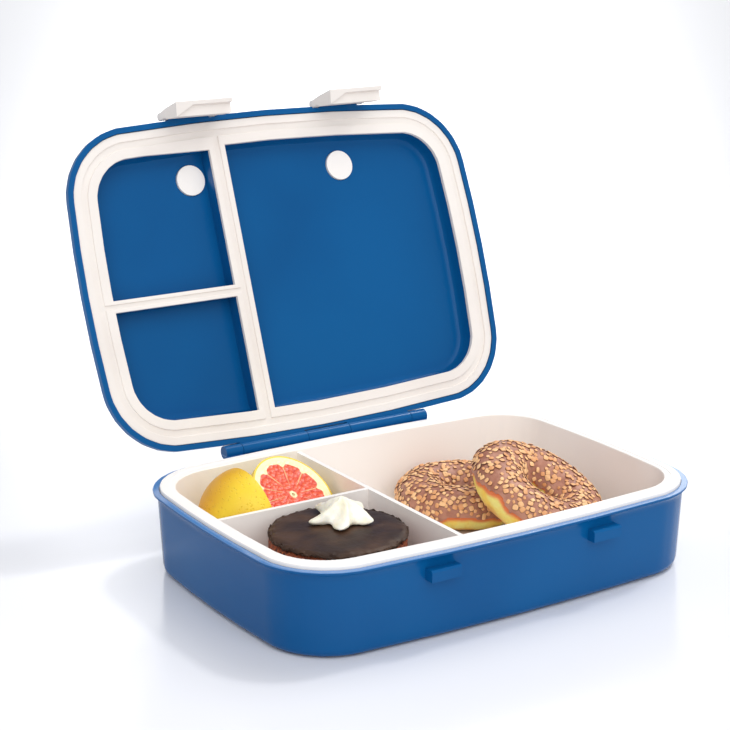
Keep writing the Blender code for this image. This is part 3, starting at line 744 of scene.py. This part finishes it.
def fleshPaint():
    paint = Paint("citrusFlesh")
    across, along = acrossFace(paint)
    radius = (across * across + along * along) ** 0.5
    angle = paint.math("ARCTAN2", along, across)
    uneven = angle + paint.math("SINE", angle * 2.0 + 0.7) * 0.12 + paint.math("SINE", angle * 3.0) * 0.06
    share = paint.math("FRACT", uneven * (flesh["segments"] / math.tau) + 0.5)
    fromWall = paint.math("ABSOLUTE", share - 0.5) * radius * (math.tau / flesh["segments"])
    wall = (1.0 - paint.ramp(fromWall, *flesh["wall"])) * paint.ramp(radius, *flesh["wallStarts"])
    bow = paint.math("EXPONENT", fromWall * fromWall * flesh["bow"]) * flesh["bowDepth"]
    rim = paint.ramp(radius + bow + (paint.noise(260.0, 2.0) - 0.5) * 0.0014, *flesh["rim"])
    core = 1.0 - paint.ramp(radius + (paint.noise(500.0, 2.0) - 0.5) * 0.002, *flesh["core"])
    hollow = 1.0 - paint.ramp(radius, *flesh["hollow"])
    rays = paint.node("ShaderNodeCombineXYZ", 0, {0: radius * 2.2, 1: angle * 0.12, 2: 0.0})
    streak = paint.noise(60.0, 4.0, 0.6, rays)
    sacs = paint.cells(420.0)
    pulp = paint.mix(paint.ramp(sacs, 0.1, 0.6), *flesh["sacs"])
    deep = paint.mix(paint.ramp(streak, 0.35, 0.65), pulp, flesh["streak"])
    colour = paint.mix(wall * 0.75, deep, flesh["wallShade"])
    colour = paint.mix(paint.math("MAXIMUM", core, rim), colour, flesh["rimShade"])
    # painted shade: the hollow at the core is darkened toward hollowShade, besides being sunk by the bump
    colour = paint.mix(hollow * 0.7, colour, flesh["hollowShade"])
    paint.surface(Base_Color=colour, Roughness=0.32, Subsurface_Weight=0.05,
                  Subsurface_Radius=(0.003, 0.0015, 0.0008))
    return paint.bump(sacs * 0.4 + wall * (1.0 - rim) * 0.3 - hollow, 0.0007)


def pithPaint():
    paint = Paint("citrusPith")
    soft = paint.noise(300.0, 4.0)
    paint.surface(Base_Color=paint.mix(soft, *citrus["white"]), Roughness=0.6,
                  Subsurface_Weight=0.1, Subsurface_Radius=(0.003, 0.003, 0.001))
    return paint.bump(soft, 0.0003)


def peelPaint():
    paint = Paint("citrusPeel")
    dots = paint.ramp(paint.cells(520.0), 0.0, 0.35)
    skin = paint.mix(paint.ramp(paint.noise(26.0, 2.0), 0.35, 0.7), *citrus["skin"])
    away = paint.vector("SUBTRACT", paint.place(), tuple(citrus["ball"]))
    toward = paint.vector("DOT_PRODUCT", away, citrus["ripeToward"], out="Value")
    skin = paint.mix(paint.ramp(toward, *citrus["ripeFrom"]) * 0.8, skin, citrus["ripe"])
    paint.surface(Base_Color=paint.mix(dots * 0.12 + 0.88, citrus["dot"], skin), Roughness=0.4,
                  Subsurface_Weight=0.06, Subsurface_Radius=(0.003, 0.002, 0.0006))
    return paint.bump(dots, 0.0003)


def cutFruit(name, centre, facing, radius, deep, level):
    # a fruit cut flat, with rings for peel and pith inset in the cut
    def cutFace(face):
        # the one flat face with many corners
        return face.normal.z > citrus["flat"] and len(face.vertices) > citrus["manyCorners"]

    deselect()
    bpy.ops.mesh.primitive_uv_sphere_add(segments=citrus["turns"], ring_count=citrus["rings"], radius=1.0)
    piece = bpy.context.object
    piece.scale = (radius, radius, deep)
    bpy.ops.object.transform_apply(scale=True)
    choose(piece, "FACE", lambda f: True)
    bpy.ops.mesh.bisect(plane_co=(0, 0, level), plane_no=(0, 0, 1), use_fill=True, clear_outer=True,
                        threshold=citrus["thinnest"])
    bpy.ops.mesh.select_all(action="SELECT")
    bpy.ops.mesh.normals_make_consistent(inside=False)
    leave()
    for width in (citrus["peel"], citrus["pith"]):
        choose(piece, "FACE", cutFace)
        bpy.ops.mesh.inset(thickness=width)
        leave()
    choose(piece, "FACE", cutFace)
    bpy.ops.mesh.poke()
    leave()
    piece.matrix_world = Matrix.Translation(centre) @ facing.to_track_quat("Z", "Y").to_matrix().to_4x4()
    settle(piece, name)
    return piece


def colourCut(piece, centre, facing, radius, deep, level):
    # flesh in the middle of the cut, then pith, and peel at its edge
    face = centre + facing * level
    edge = math.sqrt(1 - (level / deep) ** 2) * radius
    for polygon in piece.data.polygons:
        off = abs((polygon.center - face).dot(facing))
        if polygon.normal.dot(facing) < citrus["flat"] or off > citrus["nearCut"]:
            continue
        reach = (polygon.center - face).length
        if reach < edge - citrus["peel"] - citrus["pith"]:
            polygon.material_index = 2
        elif reach < edge - citrus["peel"] * 0.8:
            polygon.material_index = 1


def makeCitrus():
    fleshes, pith, peel = fleshPaint(), pithPaint(), peelPaint()
    half = (citrus["centre"], citrus["normal"], citrus["face"], citrus["deep"], citrus["faceCut"])
    ball = (citrus["ball"], citrus["facing"], citrus["round"], citrus["round"], citrus["ballCut"])
    for name, shape, node, slot in (("citrusHalf", half, "citrus_half", "citrus_flesh"),
                                    ("citrusEnd", ball, "citrus_rind", "citrus_peel")):
        piece = cutFruit(name, *shape)
        finish(piece, peel, "base", slot, node)
        piece.data.materials.append(pith.material)
        piece.data.materials.append(fleshes.material)
        colourCut(piece, *shape)
        smooth(piece, 40)


# studio

studio = {
    "floor": 30.0, "floorHigh": -0.0006, "floorShade": tone(242, 243, 248), "floorGloss": 0.18,
    "aim": Vector((0, 0, 0.08)), "sky": (0.97, 0.98, 1.0, 1.0), "skyLight": 0.6,
    # name, place, power, width in degrees and colour
    "lamps": (("keySun", (0.75, 0.2, 1.1), 0.8, 40.0, (1.0, 0.985, 0.96)),
              ("glintSun", (0.72, 0.1, 1.1), 0.6, 7.0, (1.0, 0.99, 0.98)),
              ("backSun", (0.52, 0.81, 0.34), 0.22, 22.0, (1.0, 1.0, 1.0)),
              ("frontSun", (-0.35, -1.0, 0.9), 1.4, 70.0, (1.0, 0.99, 0.98))),
}

view = {
    "place": (-0.545477, -0.792623, 0.378200), "right": Vector((0.841485, -0.540281, -0.000557)),
    "down": Vector((-0.144220, -0.223628, -0.963946)), "forward": Vector((0.520677, 0.811226, -0.266098)),
    "lens": 91.68, "sensor": 36.0, "far": 20.0,
}


def makeStudio():
    deselect()
    bpy.ops.mesh.primitive_plane_add(size=studio["floor"], location=(0, 0, studio["floorHigh"]))
    floor = bpy.context.object
    floor.name = "floor"
    paint = Paint("studioFloor")
    paint.surface(Base_Color=studio["floorShade"], Roughness=studio["floorGloss"])
    floor.data.materials.append(paint.material)
    for name, where, power, width, colour in studio["lamps"]:
        bpy.ops.object.light_add(type="SUN", location=where)
        lamp = bpy.context.object
        lamp.name = name
        lamp.data.energy = power
        lamp.data.angle = math.radians(width)
        lamp.data.color = colour
        lamp.rotation_euler = (studio["aim"] - Vector(where)).to_track_quat("-Z", "Y").to_euler()
    world = bpy.data.worlds.new("studio")
    world.use_nodes = True
    world.node_tree.nodes["Background"].inputs["Color"].default_value = studio["sky"]
    world.node_tree.nodes["Background"].inputs["Strength"].default_value = studio["skyLight"]
    bpy.context.scene.world = world
    print("lit the studio with", len(studio["lamps"]), "lamps")


def makeCamera():
    turn = Matrix((view["right"], -view["down"], -view["forward"])).transposed().to_4x4()
    deselect()
    bpy.ops.object.camera_add()
    camera = bpy.context.object
    camera.matrix_world = Matrix.Translation(view["place"]) @ turn
    camera.data.lens = view["lens"]
    camera.data.sensor_width = view["sensor"]
    camera.data.clip_end = view["far"]
    bpy.context.scene.camera = camera
    bpy.context.scene.view_settings.view_transform = "Standard"
    print("placed the camera")


makePlastic()
makeDoughnuts()
makeSponge()
makeGlaze()
makeCream()
makeCitrus()
makeStudio()
makeCamera()
